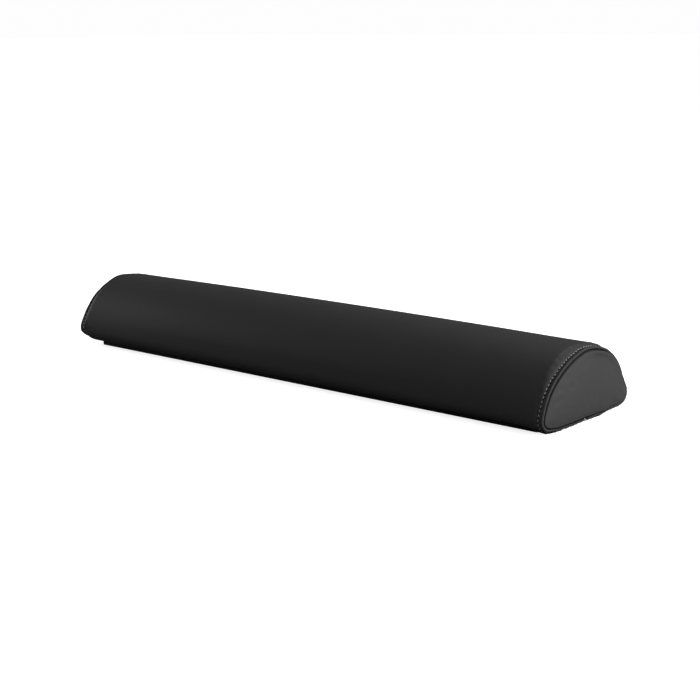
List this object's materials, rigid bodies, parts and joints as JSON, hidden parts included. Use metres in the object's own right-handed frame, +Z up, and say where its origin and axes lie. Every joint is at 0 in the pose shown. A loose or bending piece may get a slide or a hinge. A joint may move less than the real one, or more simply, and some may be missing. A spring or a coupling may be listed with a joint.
{
  "type": "half-round bolster",
  "caption": "Half-round upholstered bolster with a flat anti-slip base, domed vinyl back and topstitched D-shaped ends.",
  "frame": {"origin": "on the floor, under the middle of the bolster, on the base pad's lower face", "axes": "+X along the bolster's length, +Y across it, +Z up from the flat base to the crown"},
  "size_m": [0.7, 0.1526, 0.083],
  "materials": {
    "cover_vinyl": "black polyurethane upholstery vinyl with a fine grain, semi-matt",
    "base_rubber": "black foamed rubber sheet, matt",
    "plywood": "sanded birch plywood",
    "firm_foam": "firm closed-cell foam, cut faces",
    "soft_foam": "soft open-cell upholstery foam",
    "staple_steel": "galvanised flat wire"
  },
  "bodies": {
    "root": {"cover_sleeve": "cover_vinyl", "end_panel_left": "cover_vinyl", "end_panel_right": "cover_vinyl", "base_pad": "base_rubber", "base_board": "plywood", "foam_core": "firm_foam", "comfort_layer": "soft_foam", "end_pad_left": "soft_foam", "end_pad_right": "soft_foam", "staple_front_01": "staple_steel", "staple_front_02": "staple_steel", "staple_front_03": "staple_steel", "staple_front_04": "staple_steel", "staple_front_05": "staple_steel", "staple_front_06": "staple_steel", "staple_front_07": "staple_steel", "staple_front_08": "staple_steel", "staple_front_09": "staple_steel", "staple_front_10": "staple_steel", "staple_front_11": "staple_steel", "staple_front_12": "staple_steel", "staple_front_13": "staple_steel", "staple_back_01": "staple_steel", "staple_back_02": "staple_steel", "staple_back_03": "staple_steel", "staple_back_04": "staple_steel", "staple_back_05": "staple_steel", "staple_back_06": "staple_steel", "staple_back_07": "staple_steel", "staple_back_08": "staple_steel", "staple_back_09": "staple_steel", "staple_back_10": "staple_steel", "staple_back_11": "staple_steel", "staple_back_12": "staple_steel", "staple_back_13": "staple_steel", "staple_left_01": "staple_steel", "staple_left_02": "staple_steel", "staple_left_03": "staple_steel", "staple_right_01": "staple_steel", "staple_right_02": "staple_steel", "staple_right_03": "staple_steel"}
  },
  "joints": []
}
